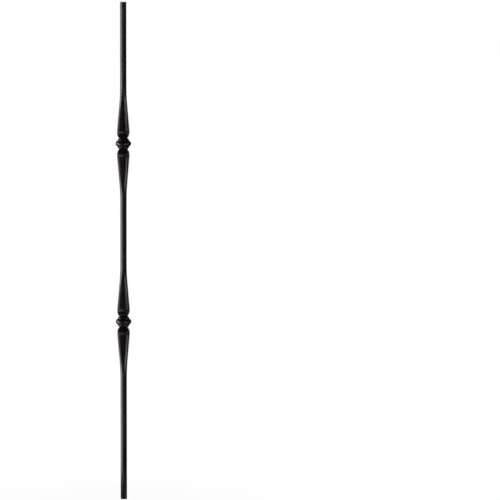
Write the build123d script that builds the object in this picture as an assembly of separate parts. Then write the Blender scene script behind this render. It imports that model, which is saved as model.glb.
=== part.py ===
from build123d import *

import os
from math import acos, cos, degrees, radians, sin, tan

from build123d.topology import SkipClean

# A double knuckle baluster for a stair: one round iron bar with two knuckles forged on it.
# Each knuckle is a ring between two beads, with a flare above it and a flare below it.
# Each flare widens from the bar to a crown near the ring, and four hammered faces flatten it
# between rounded corners. Lengths are in millimetres and angles in degrees. The bar stands
# along Z, the middle of its foot is the origin, and the faces look along X and Y.

# Bar
overall_length = 1117.6
bar_d = 14.3
foot_length = 400.05  # from the foot to the middle of the lower ring
ring_spacing = 400.05  # from the middle of the lower ring to the middle of the upper one
foot_break = 0.5
top_break = 1.0

# Ring and beads, whose heights are measured from the middle of the ring
ring_d = 35.4
ring_edge_r = 7.3
bead_d = 26.3
bead_edge_w = 5.2  # half the width of the ellipse that rounds a bead
neck_d = 17.8
neck_rise = 12.1

# Flare, where the crown is its widest place
crown_rise = 25.4
crown_across_corners = 33.1
crown_across_faces = 27.4
corner_shoulder_w = 9.5  # half the width of the ellipse that rounds the corners to the neck
corner_crown_r = 43.0
corner_taper = 6.77
corner_reach = 127.2  # height where the corners have run out into the bar
face_shoulder_r = 22.0
face_shoulder_turn = 50.0  # runs on past the neck, which stops it
face_crown_r = 62.0
face_taper = 4.64
face_reach = 123.0
face_proud = 0.04  # how far outside the bar a face leaves the flare
face_curve_at_crown = 39.0  # radius of the slight crown across a face
face_curve_at_bar = 8.05

# Derived sizes
bar_r = bar_d / 2
lower_ring_z = foot_length
upper_ring_z = foot_length + ring_spacing
cut_margin = 12.0  # how far a tool for a face reaches past what it cuts


def run_out(crown_r, ease_r, taper, end_r, reach):
    """Side of a flare from its crown to the bar: an easing arc, a straight taper and a hollow arc."""
    eased = (crown_r - ease_r * (1 - cos(radians(taper))), crown_rise + ease_r * sin(radians(taper)))
    corner_rise = eased[1] + (eased[0] - end_r) / tan(radians(taper))
    tangent = reach - corner_rise
    hollow = (end_r + tangent * sin(radians(taper)), corner_rise - tangent * cos(radians(taper)))
    easing = CenterArc((crown_r - ease_r, crown_rise), ease_r, start_angle=0, arc_size=taper)
    straight = Line(eased, hollow)
    hollowing = TangentArc((end_r, reach), hollow, tangent=(0, -1))
    return [easing, straight, hollowing]


def turned_round(centre, half_w, half_h, turn):
    """Rounding of a turned outline, an arc of an ellipse from its widest point through a turn in radians."""
    return EllipticalCenterArc(centre, half_w, half_h, start_angle=0, arc_size=degrees(turn))


def half_knuckle():
    """Outline of half a knuckle in the radius and height of a turned shape, from the ring's middle up."""
    ring_centre_r = ring_d / 2 - ring_edge_r
    bead_centre_r = bead_d / 2 - bead_edge_w
    crown_r = crown_across_corners / 2
    shoulder_centre_r = crown_r - corner_shoulder_w
    ring_turn = acos((bead_d / 2 - ring_centre_r) / ring_edge_r)
    bead_turn = acos((neck_d / 2 - bead_centre_r) / bead_edge_w)
    shoulder_turn = acos((neck_d / 2 - shoulder_centre_r) / corner_shoulder_w)
    bead_rise = ring_edge_r * sin(ring_turn)
    bead_h = (neck_rise - bead_rise) / sin(bead_turn)
    shoulder_h = (crown_rise - neck_rise) / sin(shoulder_turn)

    ring = turned_round((ring_centre_r, 0), ring_edge_r, ring_edge_r, ring_turn)
    bead = turned_round((bead_centre_r, bead_rise), bead_edge_w, bead_h, bead_turn)
    shoulder = turned_round((shoulder_centre_r, crown_rise), corner_shoulder_w, shoulder_h, -shoulder_turn)
    side = run_out(crown_r, corner_crown_r, corner_taper, bar_r, corner_reach)
    return [ring, bead, shoulder, *side]


def turned_bar():
    """The bar with both knuckles as a turned shape, before its faces are hammered."""
    half = Curve() + half_knuckle()
    knuckle = half + mirror(half, about=Plane.XZ)
    foot = Polyline(
        (0, 0),
        (bar_r - foot_break, 0),
        (bar_r, foot_break),
        (bar_r, lower_ring_z - corner_reach),
    )
    middle = Line((bar_r, lower_ring_z + corner_reach), (bar_r, upper_ring_z - corner_reach))
    top = Polyline(
        (bar_r, upper_ring_z + corner_reach),
        (bar_r, overall_length - top_break),
        (bar_r - top_break, overall_length),
        (0, overall_length),
    )
    axis = Line((0, overall_length), (0, 0))
    knuckles = [Pos(0, lower_ring_z) * knuckle, Pos(0, upper_ring_z) * knuckle]
    outline = Curve() + [foot, middle, top, axis] + knuckles
    return revolve(Plane.XZ * make_face(outline), Axis.Z)


def face_tool():
    """What hammering takes off the +X side of an upper flare: all that lies outside the face.

    The face is a surface turned about an axis that leans towards the bar, so it is nearly flat
    at the crown and rounds over as it runs out.
    """
    crown_r = crown_across_faces / 2
    end_r = bar_r + face_proud
    low, high = neck_rise - cut_margin, face_reach + cut_margin
    shoulder = CenterArc(
        (crown_r - face_shoulder_r, crown_rise),
        face_shoulder_r,
        start_angle=-face_shoulder_turn,
        arc_size=face_shoulder_turn,
    )
    side = run_out(crown_r, face_crown_r, face_taper, end_r, face_reach)
    axis_at_crown = crown_r - face_curve_at_crown
    axis_lean = (end_r - face_curve_at_bar - axis_at_crown) / (face_reach - crown_rise)
    axis_low = (axis_at_crown + axis_lean * (low - crown_rise), low)
    axis_high = (axis_at_crown + axis_lean * (high - crown_rise), high)
    closing = Polyline(
        shoulder @ 0,
        ((shoulder @ 0).X, low),
        axis_low,
        axis_high,
        (end_r, high),
        (end_r, face_reach),
    )
    kept = make_face(Curve() + [shoulder, *side, closing])
    leaning_axis = Axis((axis_low[0], 0, low), (axis_lean, 0, 1))
    stock = Box(
        crown_across_corners,
        crown_across_faces,
        face_reach - neck_rise,
        align=(Align.MIN, Align.CENTER, Align.MIN),
    )
    return Pos(0, 0, neck_rise) * stock - revolve(Plane.XZ * kept, leaning_axis)


def hammered(bar):
    """The bar with four faces on each of its four flares."""
    tool = face_tool()
    flare = [Rot(0, 0, turn) * tool for turn in (0, 90, 180, 270)]
    lower_flare = [mirror(piece, about=Plane.XY) for piece in flare]
    for ring_z in (lower_ring_z, upper_ring_z):
        bar = bar - [Pos(0, 0, ring_z) * piece for piece in flare + lower_flare]
    return bar


with SkipClean():  # the surfaces stay as drawn, because merged ones mesh much heavier
    baluster = hammered(turned_bar())

os.makedirs("parts", exist_ok=True)
export_step(baluster, "parts/baluster.step")
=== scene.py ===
from math import acos, atan2, cos, hypot, pi, radians, sin, sqrt, tan

import bmesh
import bpy
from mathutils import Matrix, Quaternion, Vector


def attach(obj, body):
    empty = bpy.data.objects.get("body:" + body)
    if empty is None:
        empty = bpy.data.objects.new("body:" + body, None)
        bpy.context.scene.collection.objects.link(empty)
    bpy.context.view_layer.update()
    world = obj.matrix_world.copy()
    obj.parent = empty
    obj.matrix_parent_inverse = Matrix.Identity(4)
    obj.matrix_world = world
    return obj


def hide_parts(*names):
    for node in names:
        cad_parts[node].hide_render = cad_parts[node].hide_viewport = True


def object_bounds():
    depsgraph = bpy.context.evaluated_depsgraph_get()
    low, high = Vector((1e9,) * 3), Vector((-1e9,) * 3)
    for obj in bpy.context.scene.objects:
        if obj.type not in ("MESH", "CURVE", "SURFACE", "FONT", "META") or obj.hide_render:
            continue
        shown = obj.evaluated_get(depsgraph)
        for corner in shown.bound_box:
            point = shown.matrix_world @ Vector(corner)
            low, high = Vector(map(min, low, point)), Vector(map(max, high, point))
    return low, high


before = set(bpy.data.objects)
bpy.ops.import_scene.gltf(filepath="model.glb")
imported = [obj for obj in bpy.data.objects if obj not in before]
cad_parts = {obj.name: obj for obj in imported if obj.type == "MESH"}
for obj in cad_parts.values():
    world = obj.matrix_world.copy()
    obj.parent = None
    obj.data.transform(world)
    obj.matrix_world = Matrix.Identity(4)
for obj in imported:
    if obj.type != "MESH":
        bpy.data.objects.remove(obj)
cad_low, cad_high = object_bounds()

# Dresses a double knuckle baluster: the forged bar with its two knuckles, and the studio around it.
# Lengths are in metres and angles in radians. The bar stands along Z with its foot at the origin,
# and its hammered faces look along X and Y. A rise is a height measured from the middle of a ring.

bl_info = {
    "name": "Double knuckle baluster",
    "version": (1, 0, 0),
    "blender": (4, 5, 0),
    "location": "3D View > Sidebar > Baluster",
    "description": "Forges a round iron baluster with two knuckles and sets it in a studio",
    "category": "Add Mesh",
}

CAD_NODE = "baluster"

QUARTER = pi / 2

# Mesh of the turned bar: the columns run up it, counted from the middle of a face to a corner
COLUMNS = 128
COLUMN_TURN = 2 * pi / COLUMNS
CREASE_COLUMN = 9
CORNER_COLUMN = 16
NARROWEST_LEAF = radians(3.2)  # where a leaf ends, its columns stay this far to each side
HALVINGS = 50  # steps that close in on the rise where a leaf ends

# Rows of the mesh on each stretch of half a knuckle, from the ring's middle to the plain bar
RING_ROWS = 16
BEAD_ROWS = 18
SHOULDER_ROWS = 48
SHOULDER_CROWD = 2.0  # gathers a shoulder's rows at the neck, where it curves most
CROWN_ROWS = 8
TAPER_ROWS = 24
HOLLOW_ROWS = 30


class BarSizes(bpy.types.PropertyGroup):
    """Sizes of the plain bar"""

    length: bpy.props.FloatProperty(
        name="Length",
        description="Height of the baluster from its foot to its top end",
        default=cad_high.z - cad_low.z,
        unit="LENGTH",
    )
    diameter: bpy.props.FloatProperty(
        name="Diameter",
        description="Thickness of the round bar",
        default=0.0143,
        unit="LENGTH",
    )
    foot_break: bpy.props.FloatProperty(
        name="Foot break",
        description="Chamfer at the foot",
        default=0.0005,
        unit="LENGTH",
    )
    top_break: bpy.props.FloatProperty(
        name="Top break",
        description="Chamfer at the top end",
        default=0.001,
        unit="LENGTH",
    )


class KnuckleSizes(bpy.types.PropertyGroup):
    """Sizes and places of the rings and their beads"""

    lower_height: bpy.props.FloatProperty(
        name="Lower ring height",
        description="Height of the middle of the lower ring",
        default=0.40005,
        unit="LENGTH",
    )
    spacing: bpy.props.FloatProperty(
        name="Ring spacing",
        description="Distance between the middles of the two rings",
        default=0.40005,
        unit="LENGTH",
    )
    ring_diameter: bpy.props.FloatProperty(
        name="Ring diameter",
        description="Thickness of a ring at its middle",
        default=2 * min(cad_high.x, cad_high.y),
        unit="LENGTH",
    )
    ring_edge: bpy.props.FloatProperty(
        name="Ring rounding",
        description="Radius that rounds a ring's outside",
        default=0.0073,
        unit="LENGTH",
    )
    bead_diameter: bpy.props.FloatProperty(
        name="Bead diameter",
        description="Thickness of a bead where it meets the ring",
        default=0.0263,
        unit="LENGTH",
    )
    bead_edge: bpy.props.FloatProperty(
        name="Bead rounding",
        description="Half the width of the ellipse that rounds a bead",
        default=0.0052,
        unit="LENGTH",
    )
    neck_diameter: bpy.props.FloatProperty(
        name="Neck diameter",
        description="Thickness of the groove between a bead and a flare",
        default=0.0178,
        unit="LENGTH",
    )
    neck_rise: bpy.props.FloatProperty(
        name="Neck rise",
        description="Height of the groove from the middle of the ring",
        default=0.0121,
        unit="LENGTH",
    )


class FlareSizes(bpy.types.PropertyGroup):
    """Sizes of a flare, its corners and its four hammered faces"""

    crown_rise: bpy.props.FloatProperty(
        name="Crown rise",
        description="Height of a flare's widest place from the middle of the ring",
        default=0.0254,
        unit="LENGTH",
    )
    across_corners: bpy.props.FloatProperty(
        name="Across corners",
        description="Thickness of a crown over its rounded corners",
        default=0.0331,
        unit="LENGTH",
    )
    across_faces: bpy.props.FloatProperty(
        name="Across faces",
        description="Thickness of a crown over its hammered faces",
        default=0.0274,
        unit="LENGTH",
    )
    corner_shoulder: bpy.props.FloatProperty(
        name="Corner shoulder",
        description="Half the width of the ellipse that rounds the corners to the neck",
        default=0.0095,
        unit="LENGTH",
    )
    corner_ease: bpy.props.FloatProperty(
        name="Corner crown",
        description="Radius that rounds the crown's corners to their taper",
        default=0.043,
        unit="LENGTH",
    )
    corner_taper: bpy.props.FloatProperty(
        name="Corner taper",
        description="Angle of the corners to the bar",
        default=radians(6.77),
        subtype="ANGLE",
    )
    corner_reach: bpy.props.FloatProperty(
        name="Corner reach",
        description="Height where the corners have run out into the bar",
        default=0.1272,
        unit="LENGTH",
    )
    face_shoulder: bpy.props.FloatProperty(
        name="Face shoulder",
        description="Radius that rounds a face to the neck",
        default=0.022,
        unit="LENGTH",
    )
    face_ease: bpy.props.FloatProperty(
        name="Face crown",
        description="Radius that rounds a face to its taper",
        default=0.062,
        unit="LENGTH",
    )
    face_taper: bpy.props.FloatProperty(
        name="Face taper",
        description="Angle of a face to the bar",
        default=radians(4.64),
        subtype="ANGLE",
    )
    face_reach: bpy.props.FloatProperty(
        name="Face reach",
        description="Height where a face has run out into the bar",
        default=0.123,
        unit="LENGTH",
    )
    face_proud: bpy.props.FloatProperty(
        name="Face proud",
        description="How far outside the bar a face leaves the flare",
        default=0.00004,
        unit="LENGTH",
    )
    curve_at_crown: bpy.props.FloatProperty(
        name="Curve at crown",
        description="Radius across a face at the crown",
        default=0.039,
        unit="LENGTH",
    )
    curve_at_bar: bpy.props.FloatProperty(
        name="Curve at bar",
        description="Radius across a face where it runs out",
        default=0.00805,
        unit="LENGTH",
    )
    crease: bpy.props.FloatProperty(
        name="Crease",
        description="Half the width that a crease beside a face is softened over",
        default=0.0003,
        unit="LENGTH",
    )


class CoatFinish(bpy.types.PropertyGroup):
    """Look of the powder coat"""

    colour: bpy.props.FloatVectorProperty(
        name="Colour",
        description="Colour of the coat",
        default=(0.0095, 0.0052, 0.0072),
        subtype="COLOR",
        size=3,
    )
    roughness: bpy.props.FloatProperty(
        name="Roughness",
        description="Mean roughness of the coat",
        default=0.19,
    )
    grain: bpy.props.FloatProperty(
        name="Grain",
        description="Size of the coat's fine grain",
        default=0.0006,
        unit="LENGTH",
    )


class StudioSettings(bpy.types.PropertyGroup):
    """Camera and lamps"""

    azimuth: bpy.props.FloatProperty(
        name="Azimuth",
        description="How far to the right of a face's middle the camera stands",
        default=radians(11.0),
        subtype="ANGLE",
    )
    elevation: bpy.props.FloatProperty(
        name="Elevation",
        description="How far above the horizon the camera looks from",
        default=radians(5.5),
        subtype="ANGLE",
    )
    distance: bpy.props.FloatProperty(
        name="Distance",
        description="Distance of the camera from the bar",
        default=20.0,
        unit="LENGTH",
    )
    light: bpy.props.FloatProperty(
        name="Light",
        description="Brightness of all the softboxes together",
        default=1.0,
    )


class Side:
    """Side of a flare: a shoulder up to the crown, an easing arc, a straight taper and a hollow arc."""

    def __init__(self, crown_r, crown_rise, shoulder_w, shoulder_h, ease_r, taper, end_r, reach):
        self.crown_r, self.crown_rise = crown_r, crown_rise
        self.shoulder_w, self.shoulder_h = shoulder_w, shoulder_h
        self.ease_r, self.end_r, self.reach = ease_r, end_r, reach
        self.slope = tan(taper)
        self.eased_rise = crown_rise + ease_r * sin(taper)
        self.eased_r = crown_r - ease_r * (1 - cos(taper))
        corner_rise = self.eased_rise + (self.eased_r - end_r) / self.slope
        self.hollow_r = (reach - corner_rise) / tan(taper / 2)
        self.hollow_rise = reach - self.hollow_r * sin(taper)

    def radius(self, rise):
        """Distance of the side from the bar's axis."""
        if rise < self.crown_rise:
            down = (self.crown_rise - rise) / self.shoulder_h
            return self.crown_r - self.shoulder_w * (1 - sqrt(max(0.0, 1 - down**2)))
        if rise < self.eased_rise:
            return self.crown_r - self.ease_r + sqrt(self.ease_r**2 - (rise - self.crown_rise) ** 2)
        if rise < self.hollow_rise:
            return self.eased_r - self.slope * (rise - self.eased_rise)
        if rise < self.reach:
            return self.end_r + self.hollow_r - sqrt(self.hollow_r**2 - (self.reach - rise) ** 2)
        return self.end_r


class Flare:
    """Shape of a flare: round where its corners are, and cut back to four faces that are curved across."""

    def __init__(self, bar, knuckle, flare):
        bar_r = bar.diameter / 2
        neck_r = knuckle.neck_diameter / 2
        corner_r = flare.across_corners / 2
        face_r = flare.across_faces / 2
        shoulder_turn = acos((neck_r - corner_r + flare.corner_shoulder) / flare.corner_shoulder)
        self.neck_rise, self.crease = knuckle.neck_rise, flare.crease
        self.shoulder_turn = shoulder_turn
        self.corner = Side(
            corner_r,
            flare.crown_rise,
            flare.corner_shoulder,
            (flare.crown_rise - knuckle.neck_rise) / sin(shoulder_turn),
            flare.corner_ease,
            flare.corner_taper,
            bar_r,
            flare.corner_reach,
        )
        self.face = Side(
            face_r,
            flare.crown_rise,
            flare.face_shoulder,
            flare.face_shoulder,
            flare.face_ease,
            flare.face_taper,
            bar_r + flare.face_proud,
            flare.face_reach,
        )
        self.axis_at_crown = face_r - flare.curve_at_crown
        axis_at_end = self.face.end_r - flare.curve_at_bar
        self.axis_lean = (axis_at_end - self.axis_at_crown) / (flare.face_reach - flare.crown_rise)
        self.leaf_low = self.leaf_end(knuckle.neck_rise, flare.crown_rise)
        self.leaf_high = self.leaf_end(flare.corner_reach, flare.crown_rise)

    def leaf_end(self, outside, inside):
        """Rise between two others where the middle of a face comes out of the round flare."""
        for _ in range(HALVINGS):
            middle = (outside + inside) / 2
            if self.corner.radius(middle) > self.face.radius(middle):
                inside = middle
            else:
                outside = middle
        return inside

    def face_axis(self, rise):
        """Place of the axis that a face is turned about, and the face's radius from it."""
        axis = self.axis_at_crown + self.axis_lean * (rise - self.corner.crown_rise)
        return axis, self.face.radius(rise) - axis

    def leaf_turn(self, rise):
        """Turn from the middle of a face to the crease where it meets the corner."""
        axis, curve = self.face_axis(rise)
        corner = self.corner.radius(rise)
        across = (corner**2 + axis**2 - curve**2) / (2 * corner * axis)
        return acos(min(1.0, max(-1.0, across)))

    def face_distance(self, turn, rise):
        """Distance of a face from the bar's axis, at a turn from the middle of the face."""
        axis, curve = self.face_axis(rise)
        return axis * cos(turn) + sqrt(curve**2 - (axis * sin(turn)) ** 2)

    def column_turn(self, column, rise, spread_from, spread_to):
        """Turn of a column from the middle of a face. The columns follow the crease while the leaf lasts."""
        even = CREASE_COLUMN * COLUMN_TURN
        if self.leaf_low <= rise <= self.leaf_high:
            crease = max(self.leaf_turn(rise), NARROWEST_LEAF)
            gap = self.crease / self.corner.radius(rise)
        else:
            start, end = self.leaf_high, spread_to
            if rise < self.leaf_low:
                start, end = self.neck_rise, spread_from
            away = smooth((rise - start) / (end - start))
            end_gap = self.crease / self.corner.radius(start)
            crease = NARROWEST_LEAF + (even - NARROWEST_LEAF) * away
            gap = end_gap + (COLUMN_TURN - end_gap) * away
        stops = [
            (0, 0.0),
            (CREASE_COLUMN - 1, crease - gap),
            (CREASE_COLUMN, crease),
            (CREASE_COLUMN + 1, crease + gap),
            (CORNER_COLUMN, QUARTER / 2),
        ]
        for (low, low_turn), (high, high_turn) in zip(stops, stops[1:]):
            if column <= high:
                return low_turn + (high_turn - low_turn) * (column - low) / (high - low)
        return QUARTER / 2


def smooth(share):
    """Eases a share from 0 to 1."""
    share = min(1.0, max(0.0, share))
    return share * share * (3 - 2 * share)


def arc_rises(centre_r, centre_rise, half_w, half_h, start, end, steps):
    """Radii and rises along an arc of an ellipse."""
    turns = [start + (end - start) * i / steps for i in range(steps + 1)]
    return [(centre_r + half_w * cos(t), centre_rise + half_h * sin(t)) for t in turns]


def half_outline(knuckle, shape):
    """Radii and rises of half a knuckle, from the middle of the ring to the plain bar."""
    neck_r = knuckle.neck_diameter / 2
    ring_centre = knuckle.ring_diameter / 2 - knuckle.ring_edge
    bead_centre = knuckle.bead_diameter / 2 - knuckle.bead_edge
    ring_turn = acos((knuckle.bead_diameter / 2 - ring_centre) / knuckle.ring_edge)
    bead_turn = acos((neck_r - bead_centre) / knuckle.bead_edge)
    bead_rise = knuckle.ring_edge * sin(ring_turn)
    bead_h = (knuckle.neck_rise - bead_rise) / sin(bead_turn)
    ring = arc_rises(ring_centre, 0, knuckle.ring_edge, knuckle.ring_edge, 0, ring_turn, RING_ROWS)
    bead = arc_rises(bead_centre, bead_rise, knuckle.bead_edge, bead_h, 0, bead_turn, BEAD_ROWS)

    corner = shape.corner
    shoulder = spaced(shape.leaf_low, corner.crown_rise, SHOULDER_ROWS, SHOULDER_CROWD)
    crown = spaced(corner.crown_rise, corner.eased_rise, CROWN_ROWS)
    taper = spaced(corner.eased_rise, corner.hollow_rise, TAPER_ROWS)
    hollow = spaced(corner.hollow_rise, corner.reach, HOLLOW_ROWS)
    rises = [shape.leaf_low, *shoulder, *crown, *taper, *hollow]
    return ring + bead[1:] + [(corner.radius(rise), rise) for rise in rises]


def spaced(start, end, steps, crowd=1.0):
    """Rises after a start and up to an end; a crowd above 1 gathers them at the start."""
    return [start + (end - start) * (i / steps) ** crowd for i in range(1, steps + 1)]


def ring_heights(knuckle):
    """Heights of the middles of both rings."""
    return knuckle.lower_height, knuckle.lower_height + knuckle.spacing


def bar_outline(bar, knuckle, shape):
    """Radii and heights of the whole turned bar, from the foot's face to the top end's face."""
    half = half_outline(knuckle, shape)
    whole = [(radius, -rise) for radius, rise in reversed(half[1:])] + half
    bar_r = bar.diameter / 2
    foot = [(bar_r - bar.foot_break, 0.0), (bar_r, bar.foot_break), (bar_r, 2 * bar.foot_break)]
    top = [
        (bar_r, bar.length - 2 * bar.top_break),
        (bar_r, bar.length - bar.top_break),
        (bar_r - bar.top_break, bar.length),
    ]
    rings = ring_heights(knuckle)
    knuckles = [(radius, ring + rise) for ring in rings for radius, rise in whole]
    return foot + knuckles + top


def turned(outline):
    """A bmesh of an outline turned a full circle about Z, with both ends filled."""
    bm = bmesh.new()
    points = [bm.verts.new((radius, 0.0, height)) for radius, height in outline]
    edges = [bm.edges.new(pair) for pair in zip(points, points[1:])]
    bmesh.ops.spin(
        bm,
        geom=points + edges,
        cent=(0, 0, 0),
        axis=(0, 0, 1),
        angle=2 * pi,
        steps=COLUMNS,
        use_merge=True,
    )
    rims = [edge for edge in bm.edges if edge.is_boundary]
    caps = bmesh.ops.edgeloop_fill(bm, edges=rims)["faces"]
    bmesh.ops.recalc_face_normals(bm, faces=bm.faces)
    return bm, caps


def hammer(bm, shape, knuckle):
    """Presses the four faces into every flare, and leads the columns along the creases."""
    rings = ring_heights(knuckle)
    spread_from, spread_to = knuckle.neck_rise / 2, shape.corner.reach
    for vert in bm.verts:
        x, y, z = vert.co
        rise = min(abs(z - ring) for ring in rings)
        radius = hypot(x, y)
        if not spread_from < rise < spread_to:
            continue
        turn = atan2(y, x)
        middle = round(turn / QUARTER) * QUARTER
        offset = turn - middle
        column = round(abs(offset) / COLUMN_TURN)
        new_offset = shape.column_turn(column, rise, spread_from, spread_to)
        if shape.leaf_low < rise < shape.leaf_high:
            radius = min(radius, shape.face_distance(new_offset, rise))
        new_turn = middle + (new_offset if offset > 0 else -new_offset)
        vert.co = (radius * cos(new_turn), radius * sin(new_turn), z)


SHARP = pi / 8  # edges that turn by more than this are softened


def finish_ends(bm, caps, bar):
    """Softens the chamfers' edges and gives each end face a rim and a centre."""
    rim_edges = [edge for cap in caps for edge in cap.edges]
    chamfers = {face for edge in rim_edges for face in edge.link_faces}.difference(caps)
    chamfer_edges = [edge for face in chamfers for edge in face.edges if edge.calc_face_angle() > SHARP]
    bmesh.ops.inset_region(bm, faces=caps, thickness=bar.foot_break / 2, use_even_offset=True)
    bmesh.ops.bevel(
        bm,
        geom=chamfer_edges,
        offset=bar.foot_break / 5,
        offset_type="OFFSET",
        affect="EDGES",
        segments=3,
        profile=0.5,
        material=-1,
    )
    bmesh.ops.poke(bm, faces=[face for face in bm.faces if len(face.verts) > 4])


def make_object(name, bm, material):
    """A smooth-shaded object at the origin from a bmesh."""
    mesh = bpy.data.meshes.new(name)
    bm.to_mesh(mesh)
    bm.free()
    mesh.polygons.foreach_set("use_smooth", [True] * len(mesh.polygons))
    mesh.materials.append(material)
    piece = bpy.data.objects.new(name, mesh)
    bpy.context.collection.objects.link(piece)
    return piece


class Value:
    """A number in a shader. Arithmetic on it adds Math nodes."""

    def __init__(self, shader, socket):
        self.shader, self.socket = shader, socket

    def math(self, operation, first, second):
        node = self.shader.node("ShaderNodeMath", {"operation": operation}, {0: first, 1: second})
        return Value(self.shader, node.outputs[0])

    def __add__(self, other):
        return self.math("ADD", self, other)

    def __radd__(self, other):
        return self.math("ADD", other, self)

    def __sub__(self, other):
        return self.math("SUBTRACT", self, other)

    def __mul__(self, other):
        return self.math("MULTIPLY", self, other)

    def at_least(self, other):
        return self.math("MAXIMUM", self, other)


class Shader:
    """The nodes of a material or of the world."""

    def __init__(self, owner):
        owner.use_nodes = True
        self.tree = owner.node_tree
        self.tree.nodes.clear()

    def node(self, kind, settings=None, values=None):
        """Adds a node: its settings come first, then the values or links of its sockets."""
        made = self.tree.nodes.new(kind)
        for name, setting in (settings or {}).items():
            setattr(made, name, setting)
        for name, value in (values or {}).items():
            if isinstance(value, Value):
                self.tree.links.new(value.socket, made.inputs[name])
            else:
                made.inputs[name].default_value = value
        return made

    def value(self, kind, settings=None, values=None, output=0):
        """Adds a node and gives one of its outputs."""
        return Value(self, self.node(kind, settings, values).outputs[output])


# Sizes of the coat's slow changes: clouds in its colour and gloss, its orange peel, and the
# swell that forging leaves in the iron under it
CLOUD_SIZE = 0.012
PEEL_SIZE = 0.0024
SWELL_SIZE = 0.018
COLOUR_SPREAD = 0.4  # how far the colour wanders, as a share of it


def coat_material(finish):
    """Satin black powder coat with a fine grain over slightly uneven forged iron."""
    material = bpy.data.materials.new("powder_coat")
    shader = Shader(material)
    place = shader.value("ShaderNodeTexCoord", output="Object")

    def noise(size, detail, roughness=0.5):
        return shader.value(
            "ShaderNodeTexNoise",
            values={"Vector": place, "Scale": 1 / size, "Detail": detail, "Roughness": roughness},
        )

    clouds = noise(CLOUD_SIZE, 2.0)
    grain = noise(finish.grain, 2.0, 0.6)
    peel = noise(PEEL_SIZE, 1.0)
    swell = noise(SWELL_SIZE, 1.0)
    red, green, blue = finish.colour
    dark, light = 1 - COLOUR_SPREAD, 1 + COLOUR_SPREAD
    colour = shader.value(
        "ShaderNodeMix",
        {"data_type": "RGBA"},
        {
            "Factor": clouds * 0.7 + grain * 0.3,
            "A": (red * dark, green * dark, blue * dark, 1),
            "B": (red * light, green * light, blue * light, 1),
        },
        output="Result",
    )
    rough = finish.roughness + (clouds - 0.5) * 0.10 + (grain - 0.5) * 0.06
    swell_bump = shader.value(
        "ShaderNodeBump",
        values={"Strength": 0.3, "Distance": 0.0002, "Height": swell},
    )
    bump = shader.value(
        "ShaderNodeBump",
        values={"Strength": 0.6, "Distance": 0.00006, "Height": grain * 0.4 + peel, "Normal": swell_bump},
    )
    surface = shader.value(
        "ShaderNodeBsdfPrincipled",
        values={
            "Base Color": colour,
            "Roughness": rough,
            "IOR": 1.5,
            "Specular IOR Level": 0.75,
            "Normal": bump,
        },
    )
    shader.node("ShaderNodeOutputMaterial", values={"Surface": surface})
    return material


def seen_by(shader):
    """Which rays meet a surface: those of the camera, and those from gloss or through glass."""
    rays = shader.node("ShaderNodeLightPath").outputs
    camera, glossy, through = (
        Value(shader, rays[name]) for name in ("Is Camera Ray", "Is Glossy Ray", "Is Transmission Ray")
    )
    return camera, glossy.at_least(through)


FLOOR_RADIUS = 0.45
FLOOR_FADE_START = 0.1  # inside this radius the floor shows the most of its shadow
FLOOR_WHITE = 0.97  # share of the floor that is plain white there, and the rest takes the shadow
FLOOR_IN_GLOSS = 0.1  # how white the floor shows in the gloss of the bar
FLOOR_SIDES = 96


def floor_material():
    """Pale floor: white to the camera, with a faint shadow that fades out to its rim."""
    material = bpy.data.materials.new("floor")
    shader = Shader(material)
    camera, reflected = seen_by(shader)
    seen = camera.at_least(reflected * FLOOR_IN_GLOSS)
    place = shader.value("ShaderNodeTexCoord", output="Object")
    away = shader.value("ShaderNodeVectorMath", {"operation": "LENGTH"}, {0: place}, output="Value")
    fade = shader.value(
        "ShaderNodeMapRange",
        {"interpolation_type": "SMOOTHSTEP"},
        {
            "Value": away,
            "From Min": FLOOR_FADE_START,
            "From Max": FLOOR_RADIUS,
            "To Min": FLOOR_WHITE,
            "To Max": 1.0,
        },
    )
    pale = shader.value("ShaderNodeBsdfDiffuse", values={"Color": (0.8, 0.8, 0.8, 1)})
    white = shader.value("ShaderNodeEmission", values={"Color": (1, 1, 1, 1), "Strength": 1.0})
    mixed = shader.value("ShaderNodeMixShader", values={0: seen * fade, 1: pale, 2: white})
    shader.node("ShaderNodeOutputMaterial", values={"Surface": mixed})
    return material


def towards(azimuth):
    """Level direction from the bar to what stands at an azimuth: 0 is along -Y, and it grows towards +X."""
    return Vector((sin(azimuth), -cos(azimuth), 0.0))


DIM_ROOM = 0.02  # brightness of all that isn't the white backdrop
# The backdrop fades in between these, which are cosines of the angle from the far side
BACKDROP_RIM = 0.78
BACKDROP_FULL = 0.98


def light_world(world, azimuth):
    """White backdrop, seen by the camera and in what reflects the far side, and a dim room in front."""
    shader = Shader(world)
    camera, reflected = seen_by(shader)
    place = shader.value("ShaderNodeTexCoord", output="Generated")
    depth = shader.value(
        "ShaderNodeVectorMath",
        {"operation": "DOT_PRODUCT"},
        {0: place, 1: towards(azimuth + pi)},
        output="Value",
    )
    behind = shader.value(
        "ShaderNodeMapRange",
        {"interpolation_type": "SMOOTHSTEP"},
        {
            "Value": depth,
            "From Min": BACKDROP_RIM,
            "From Max": BACKDROP_FULL,
            "To Min": DIM_ROOM,
            "To Max": 1.0,
        },
    )
    strength = camera.at_least(reflected * behind).at_least(DIM_ROOM)
    background = shader.value("ShaderNodeBackground", values={"Color": (1, 1, 1, 1), "Strength": strength})
    shader.node("ShaderNodeOutputWorld", values={"Surface": background})


LAMP_DISTANCE = 30.0
LAMP_COLOUR = (1.0, 0.92, 0.95)  # slightly pink, as the light in the photograph is

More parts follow.
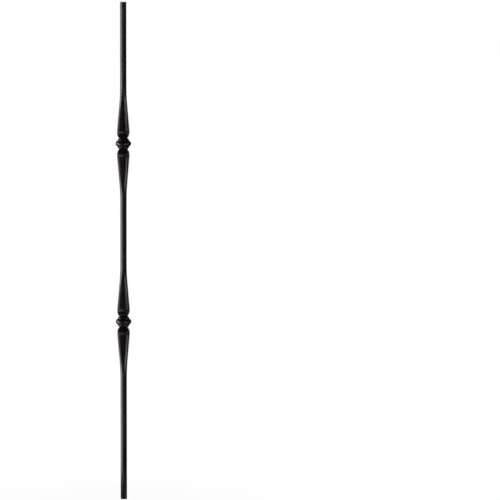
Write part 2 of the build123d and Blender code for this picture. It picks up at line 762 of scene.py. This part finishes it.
# Softboxes: their left and right sides and their bottom and top in degrees, how far their top
# leans to the left, and their brightness. The sides are counted to the right from the camera,
# and the heights up from the middle of the bar.
SOFTBOXES = (
    ("key", -130, -47, -22.0, 12.0, 0, 1.5),
    ("strip", -92, -78, -40.0, 34.0, 30, 5.0),
    ("inner key", -47, -22, -7.0, -4.1, 0, 3.2),
    ("key edge", -22, -8, -7.0, -4.1, 0, 1.2),
    ("high fill", 4, 88, 4.5, 9.5, 0, 2.4),
    ("low fill", 6, 88, -21.5, -16.0, 0, 2.6),
)


def softbox(name, middle, left, right, bottom, top, lean, strength):
    """A rectangular lamp far away that faces the bar. Its sides are angles seen from the bar's middle."""
    half_turn = (right - left) / 2
    low, high = LAMP_DISTANCE * tan(bottom), LAMP_DISTANCE * tan(top)
    lamp = bpy.data.lights.new(name, "AREA")
    lamp.shape = "RECTANGLE"
    lamp.size, lamp.size_y = 2 * LAMP_DISTANCE * tan(half_turn), high - low
    lamp.energy = strength * pi * lamp.size * lamp.size_y
    lamp.color = LAMP_COLOUR
    stand = bpy.data.objects.new(name, lamp)
    bpy.context.collection.objects.link(stand)
    away = towards(left + half_turn)
    stand.location = away * LAMP_DISTANCE + Vector((0, 0, middle + (low + high) / 2))
    facing = (-away).to_track_quat("-Z", "Y") @ Quaternion((0, 0, 1), lean)
    stand.rotation_euler = facing.to_euler()


# Where the baluster stands in the 500 pixel frame of the photograph
FRAME_PIXELS = 500.0
PHOTO_TOP = 1.55
PHOTO_BOTTOM = 499.14
PHOTO_AXIS = 123.5


def place_camera(bar, studio):
    """A long lens that looks a little down and past the bar, so that the bar stands left in the frame."""
    rise = sin(studio.elevation)
    flat = cos(studio.elevation)
    bar_r = bar.diameter / 2
    lowest = -bar_r * rise
    highest = bar.length * flat + (bar_r - bar.top_break) * rise
    pixel = (highest - lowest) / (PHOTO_BOTTOM - PHOTO_TOP)
    middle_pixel = (PHOTO_TOP + PHOTO_BOTTOM) / 2
    # The top is nearer to the camera than the foot, which lifts both in the picture by this much
    lift = ((highest - lowest) / 2) ** 2 * rise / flat / studio.distance
    target_height = ((lowest + highest) / 2 + lift + (middle_pixel - FRAME_PIXELS / 2) * pixel) / flat
    aside = (FRAME_PIXELS / 2 - PHOTO_AXIS) * pixel

    lens = bpy.data.cameras.new("camera")
    lens.lens = lens.sensor_width * studio.distance / (FRAME_PIXELS * pixel)
    lens.clip_end = 200.0
    camera = bpy.data.objects.new("camera", lens)
    bpy.context.collection.objects.link(camera)
    back = towards(studio.azimuth) * flat + Vector((0.0, 0.0, rise))
    target = towards(studio.azimuth + QUARTER) * aside + Vector((0.0, 0.0, target_height))
    camera.location = target + back * studio.distance
    camera.rotation_euler = (-back).to_track_quat("-Z", "Y").to_euler()
    bpy.context.scene.camera = camera


class BALUSTER_OT_forge(bpy.types.Operator):
    """Forge the bar with both knuckles and coat it"""

    bl_idname = "baluster.forge"
    bl_label = "Forge baluster"

    def execute(self, context):
        scene = context.scene
        bar, knuckle = scene.baluster_bar, scene.baluster_knuckle
        shape = Flare(bar, knuckle, scene.baluster_flare)
        bm, caps = turned(bar_outline(bar, knuckle, shape))
        hammer(bm, shape, knuckle)
        finish_ends(bm, caps, bar)
        piece = make_object("forged_baluster", bm, coat_material(scene.baluster_finish))
        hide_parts(CAD_NODE)
        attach(piece, "root")
        return {"FINISHED"}


class BALUSTER_OT_stage(bpy.types.Operator):
    """Set the floor, the lamps, the world and the camera"""

    bl_idname = "baluster.stage"
    bl_label = "Set the studio"

    def execute(self, context):
        scene = context.scene
        studio = scene.baluster_studio
        bm = bmesh.new()
        bmesh.ops.create_circle(bm, cap_ends=True, segments=FLOOR_SIDES, radius=FLOOR_RADIUS)
        make_object("floor", bm, floor_material())
        world = bpy.data.worlds.new("studio")
        light_world(world, studio.azimuth)
        scene.world = world
        middle = scene.baluster_bar.length / 2
        for name, left, right, bottom, top, lean, strength in SOFTBOXES:
            sides = studio.azimuth + radians(left), studio.azimuth + radians(right)
            heights = radians(bottom), radians(top)
            softbox(name, middle, *sides, *heights, radians(lean), strength * studio.light)
        place_camera(scene.baluster_bar, studio)
        scene.view_settings.view_transform = "Standard"
        return {"FINISHED"}


class BALUSTER_PT_panel(bpy.types.Panel):
    """Sizes, finish and studio, with the buttons that make the baluster and its stage"""

    bl_label = "Double knuckle baluster"
    bl_space_type = "VIEW_3D"
    bl_region_type = "UI"
    bl_category = "Baluster"

    def draw(self, context):
        scene = context.scene
        layout = self.layout
        sizes = scene.baluster_bar, scene.baluster_knuckle, scene.baluster_flare
        for group in (*sizes, scene.baluster_finish):
            for name in group.__annotations__:
                layout.prop(group, name)
        layout.operator(BALUSTER_OT_forge.bl_idname)
        for name in scene.baluster_studio.__annotations__:
            layout.prop(scene.baluster_studio, name)
        layout.operator(BALUSTER_OT_stage.bl_idname)


GROUPS = {
    "baluster_bar": BarSizes,
    "baluster_knuckle": KnuckleSizes,
    "baluster_flare": FlareSizes,
    "baluster_finish": CoatFinish,
    "baluster_studio": StudioSettings,
}
CLASSES = (*GROUPS.values(), BALUSTER_OT_forge, BALUSTER_OT_stage, BALUSTER_PT_panel)


def register():
    for cls in CLASSES:
        bpy.utils.register_class(cls)
    for name, group in GROUPS.items():
        setattr(bpy.types.Scene, name, bpy.props.PointerProperty(type=group))


def unregister():
    for name in GROUPS:
        delattr(bpy.types.Scene, name)
    for cls in reversed(CLASSES):
        bpy.utils.unregister_class(cls)


def main():
    register()
    bpy.ops.baluster.forge()
    bpy.ops.baluster.stage()


if __name__ == "__main__":
    main()
